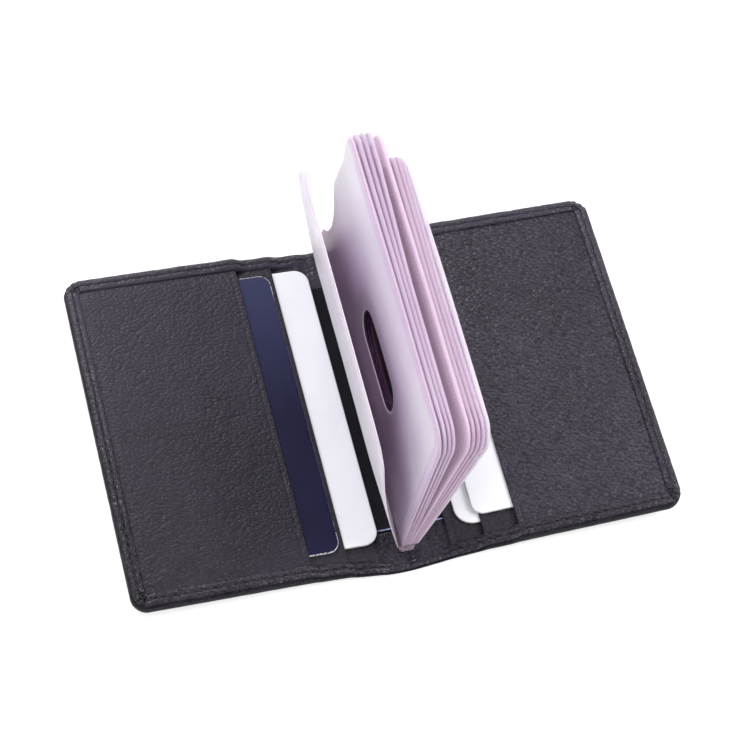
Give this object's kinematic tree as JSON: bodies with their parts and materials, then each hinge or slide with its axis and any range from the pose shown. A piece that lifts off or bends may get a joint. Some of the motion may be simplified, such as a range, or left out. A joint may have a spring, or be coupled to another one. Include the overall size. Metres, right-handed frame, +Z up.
{
  "type": "card holder",
  "caption": "Open bifold leather card holder with stepped inner pockets, cards standing out of them and a clear insert of sleeve pages with a thumb slot, welded along the spine.",
  "frame": {"origin": "centre of the spine's underside, on the surface that the holder lies on", "axes": "+X across the open covers towards the one on the right in the picture, +Y along the spine away from the camera, +Z up"},
  "size_m": [0.1518, 0.099, 0.0634],
  "materials": {
    "outer_leather": "fine pebble grain, satin",
    "pocket_leather": "fine pebble grain, satin",
    "lining_cloth": "matt, closely woven",
    "clear_film": "clear, slightly milky lilac",
    "navy_card": "satin laminate",
    "white_card": "gloss laminate"
  },
  "bodies": {
    "spine": {"spine_shell": "outer_leather", "spine_lining": "lining_cloth", "insert_base": "clear_film"},
    "cover_left": {"cover_shell_left": "outer_leather", "cover_lining_left": "lining_cloth", "insert_flap_left": "clear_film", "strip_inner_left": "pocket_leather", "strip_outer_left": "pocket_leather", "pocket_panel_left": "pocket_leather"},
    "cover_right": {"cover_shell_right": "outer_leather", "cover_lining_right": "lining_cloth", "insert_flap_right": "clear_film", "strip_inner_right": "pocket_leather", "strip_outer_right": "pocket_leather", "pocket_panel_right": "pocket_leather"},
    "card_left_lower": {"card_left_lower": "white_card"},
    "card_left_upper": {"card_left_upper": "navy_card"},
    "card_right_lower": {"card_right_lower": "white_card"},
    "card_right_upper": {"card_right_upper": "white_card"},
    "page_01": {"page_01": "clear_film"},
    "page_02": {"page_02": "clear_film"},
    "page_03": {"page_03": "clear_film"},
    "page_04": {"page_04": "clear_film"},
    "page_05": {"page_05": "clear_film"},
    "page_06": {"page_06": "clear_film"},
    "page_07": {"page_07": "clear_film"},
    "page_08": {"page_08": "clear_film"},
    "page_09": {"page_09": "clear_film"},
    "page_10": {"page_10": "clear_film"}
  },
  "joints": [
    {"name": "cover_left_fold", "type": "hinge", "parent": "spine", "child": "cover_left", "pos_m": [-0.007, 0, 0.0013], "axis": [0, 1, 0], "range_deg": [0, 87]},
    {"name": "cover_right_fold", "type": "hinge", "parent": "spine", "child": "cover_right", "pos_m": [0.007, 0, 0.0013], "axis": [0, -1, 0], "range_deg": [0, 87]},
    {"name": "card_left_lower_slide", "type": "slide", "parent": "cover_left", "child": "card_left_lower", "axis": [-0.9986, 0, 0.0523], "range_m": [-0.004, 0]},
    {"name": "card_left_upper_slide", "type": "slide", "parent": "cover_left", "child": "card_left_upper", "axis": [-0.9986, 0, 0.0523], "range_m": [-0.015, 0]},
    {"name": "card_right_lower_slide", "type": "slide", "parent": "cover_right", "child": "card_right_lower", "axis": [0.9986, 0, 0.0523], "range_m": [-0.011, 0]},
    {"name": "card_right_upper_slide", "type": "slide", "parent": "cover_right", "child": "card_right_upper", "axis": [0.9986, 0, 0.0523], "range_m": [-0.0155, 0]},
    {"name": "page_01_turn", "type": "hinge", "parent": "spine", "child": "page_01", "pos_m": [-0.00225, 0, 0.0025], "axis": [0, 1, 0], "range_deg": [0, 10.2]},
    {"name": "page_02_turn", "type": "hinge", "parent": "spine", "child": "page_02", "pos_m": [-0.00175, 0, 0.0025], "axis": [0, -1, 0], "range_deg": [0, 3.5]},
    {"name": "page_03_turn", "type": "hinge", "parent": "spine", "child": "page_03", "pos_m": [-0.00125, 0, 0.0025], "axis": [0, -1, 0], "range_deg": [0, 4.1]},
    {"name": "page_04_turn", "type": "hinge", "parent": "spine", "child": "page_04", "pos_m": [-0.00075, 0, 0.0025], "axis": [0, -1, 0], "range_deg": [0, 4.7]},
    {"name": "page_05_turn", "type": "hinge", "parent": "spine", "child": "page_05", "pos_m": [-0.00025, 0, 0.0025], "axis": [0, -1, 0], "range_deg": [0, 5.3]},
    {"name": "page_06_turn", "type": "hinge", "parent": "spine", "child": "page_06", "pos_m": [0.00025, 0, 0.0025], "axis": [0, -1, 0], "range_deg": [0, 8.9]},
    {"name": "page_07_turn", "type": "hinge", "parent": "spine", "child": "page_07", "pos_m": [0.00075, 0, 0.0025], "axis": [0, -1, 0], "range_deg": [0, 9.68]},
    {"name": "page_08_turn", "type": "hinge", "parent": "spine", "child": "page_08", "pos_m": [0.00125, 0, 0.0025], "axis": [0, -1, 0], "range_deg": [0, 10.46]},
    {"name": "page_09_turn", "type": "hinge", "parent": "spine", "child": "page_09", "pos_m": [0.00175, 0, 0.0025], "axis": [0, -1, 0], "range_deg": [0, 11.24]},
    {"name": "page_10_turn", "type": "hinge", "parent": "spine", "child": "page_10", "pos_m": [0.00225, 0, 0.0025], "axis": [0, -1, 0], "range_deg": [0, 12.02]}
  ],
  "couplings": [
    {"joint": "page_01_turn", "follows": "cover_left_fold", "ratio": 0.11724},
    {"joint": "page_02_turn", "follows": "cover_right_fold", "ratio": 0.04022},
    {"joint": "page_03_turn", "follows": "cover_right_fold", "ratio": 0.04712},
    {"joint": "page_04_turn", "follows": "cover_right_fold", "ratio": 0.05402},
    {"joint": "page_05_turn", "follows": "cover_right_fold", "ratio": 0.06091},
    {"joint": "page_06_turn", "follows": "cover_right_fold", "ratio": 0.10229},
    {"joint": "page_07_turn", "follows": "cover_right_fold", "ratio": 0.11126},
    {"joint": "page_08_turn", "follows": "cover_right_fold", "ratio": 0.12022},
    {"joint": "page_09_turn", "follows": "cover_right_fold", "ratio": 0.12919},
    {"joint": "page_10_turn", "follows": "cover_right_fold", "ratio": 0.13816}
  ]
}
